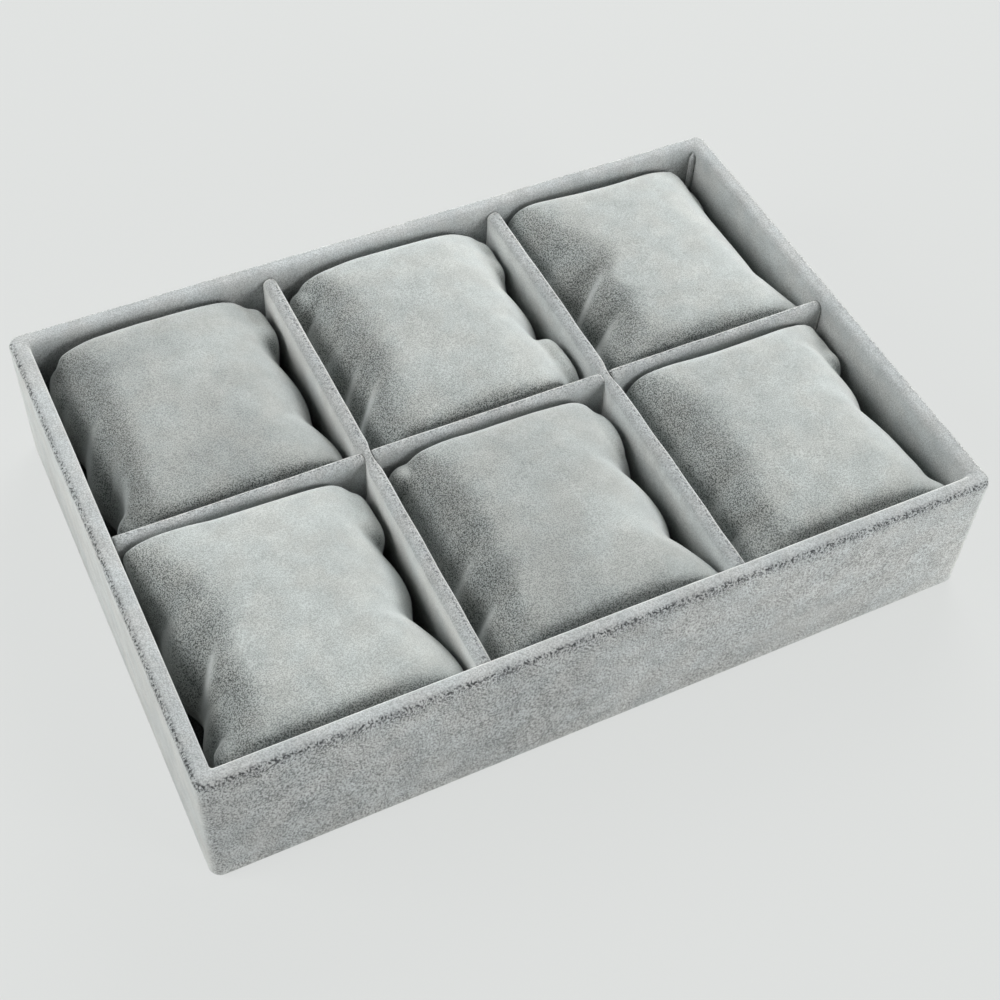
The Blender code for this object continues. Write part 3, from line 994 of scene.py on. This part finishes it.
def press_corners(point, box, corners):
    """Where a point of the bag goes when its corners are pressed out into the compartment's."""
    low, high = box
    middle, half = (low + high) / 2, (high - low) / 2
    u, v = (point.x - middle.x) / half.x, (point.y - middle.y) / half.y
    fullness = corners.get((1 if u > 0 else -1, 1 if v > 0 else -1), 0.0)
    if not fullness or not (u and v):
        return point
    spread = (round_norm(u, v, loose_squareness) / round_norm(u, v, full_squareness)) ** fullness
    u, v = (clamp(spread * n, -1.0, 1.0) for n in (u, v))
    return Vector((middle.x + u * half.x, middle.y + v * half.y, point.z))


def fold_ear(points, faces, box, ear, seed):
    """Adds a corner of the bag that is folded up into a blunt flap against the walls."""
    low, high = box
    side_x, side_y, tip, reach_x, reach_y, half_height, crease = ear
    half = Vector((reach_x / 2, reach_y / 2, half_height))
    corner = Vector((high.x if side_x > 0 else low.x, high.y if side_y > 0 else low.y, tip))
    centre = corner - Vector((side_x * half.x, side_y * half.y, half.z))
    across = 0 if reach_x > reach_y else 1
    form = bmesh.new()
    bmesh.ops.create_icosphere(form, subdivisions=4, radius=1.0)
    base = len(points)
    for vertex in form.verts:
        place = vertex.co / sum(abs(n) ** ear_bluntness for n in vertex.co) ** (1 / ear_bluntness)
        cleft = crease * math.exp(-(place[across] / ear_cleft_width) ** 2) * max(0.0, place.z)
        unevenness = ear_unevenness * drift(place, seed, ear_wave_length)
        place.z *= 1 - cleft
        points.append(centre + place * half * (1 + unevenness - ear_unevenness))
    faces += [[base + vertex.index for vertex in face.verts] for face in form.faces]
    form.free()


def soften_bag(pillow):
    """Merges the bag with its ears into one skin, and smooths it."""
    smooth = pillow.modifiers.new("smooth", "SMOOTH")
    smooth.iterations = 2
    fine = pillow.modifiers.new("fine", "SUBSURF")
    fine.levels = fine.render_levels = 1
    merged = pillow.modifiers.new("merged", "REMESH")
    merged.mode = "VOXEL"
    merged.voxel_size = bag_voxel
    even = pillow.modifiers.new("even", "SMOOTH")
    even.iterations = 5
    apply_modifiers(pillow)


def fold_depth(x, y, fold):
    """How far a fold draws the skin in here, with a low ridge along its front side."""
    start_x, start_y, end_x, end_y, depth = fold
    run = Vector((end_x - start_x, end_y - start_y))
    place = Vector((x - start_x, y - start_y))
    along = clamp(place.dot(run) / run.length_squared)
    off = run.cross(place) * math.copysign(1, run.x) / run.length
    valley = math.exp(-(off / fold_half_width) ** 2)
    off_ridge = off + 2 * fold_half_width
    ridge = fold_ridge_share * math.exp(-(off_ridge / (fold_ridge_spread * fold_half_width)) ** 2)
    return depth * (valley - ridge) * math.cos(math.pi / 2 * along) ** 2


def press_folds(pillow, box, folds):
    """Draws the folds into the upper part of the skin, which stays inside its box."""
    low, high = box
    middle = (low + high) / 2
    normals = [vertex.normal.copy() for vertex in pillow.data.vertices]
    full_level = middle.z + fold_full_rise
    for vertex, normal in zip(pillow.data.vertices, normals):
        upper = clamp((vertex.co.z - fold_foot) / (full_level - fold_foot))
        if upper:
            x, y = vertex.co.x - middle.x, vertex.co.y - middle.y
            drawn = vertex.co - normal * upper * sum(fold_depth(x, y, fold) for fold in folds)
            vertex.co = [clamp(n, a, b) for n, a, b in zip(drawn, low, high)]


def make_pillows(material):
    for number, (name, (points, faces)) in enumerate(stuffed_bags().items()):
        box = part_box(f"{name}_pillow_cover")
        lift = Vector((0, 0, box[0].z - min(p.z for p in points)))
        points = [press_corners(p + lift, box, bag_corners[name]) for p in points]
        for ear_number, ear in enumerate(bag_ears[name]):
            fold_ear(points, faces, box, ear, 4 * number + ear_number)
        pillow = mesh_object(f"{name}_pillow", points, faces)
        soften_bag(pillow)
        press_folds(pillow, box, bag_folds[name])
        pillow.data.shade_smooth()
        ruffled = bag_cuts[name]["ruffled"]
        drifts = (drift(vertex.co, number, ruffled_length) for vertex in pillow.data.vertices)
        set_shares(pillow.data, "ruffled", [ruffled * (ruffled_mean + ruffled_swing * d) for d in drifts])
        body = f"{name}_pillow"
        finish_piece(pillow, body, "pillow_velvet", material, f"{body}_cover", f"{body}_fill")


def dress_nodes(frame, materials):
    """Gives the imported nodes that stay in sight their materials."""
    slots = {part["node"]: part["material_slot"] for part in frame["record"]["subparts"]}
    for name, node in frame["nodes"].items():
        node.data.materials.clear()
        node.data.materials.append(materials[slots[name]])


def main():
    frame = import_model()
    scene = bpy.context.scene
    scene.view_settings.view_transform = "Standard"
    add_camera()
    add_light()
    add_floor()
    materials = {
        "tray_velvet": velvet("tray_velvet", tray_tones, 0.35, parting_share=0.9),
        "pillow_velvet": velvet("pillow_velvet", pillow_tones, 0.45, painted_shade_away=0.78, ruffled_shade=0.78),
        "grey_board": grey_board(),
        "underside_backing": backing_paper(),
        "white_wadding": wadding(),
    }
    dress_nodes(frame, materials)
    tray_velvet = materials["tray_velvet"]
    make_wrap(tray_velvet)
    make_lining_fold(tray_velvet)
    sides = ("left", "right")
    crossings = [sum(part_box(f"{side}_cross_divider_velvet"), Vector()).x / 2 for side in sides]
    make_divider("long_divider", True, crossings, False, tray_velvet)
    for side in sides:
        make_divider(f"{side}_cross_divider", False, (0.0,), True, tray_velvet)
    make_pillows(materials["pillow_velvet"])


main()
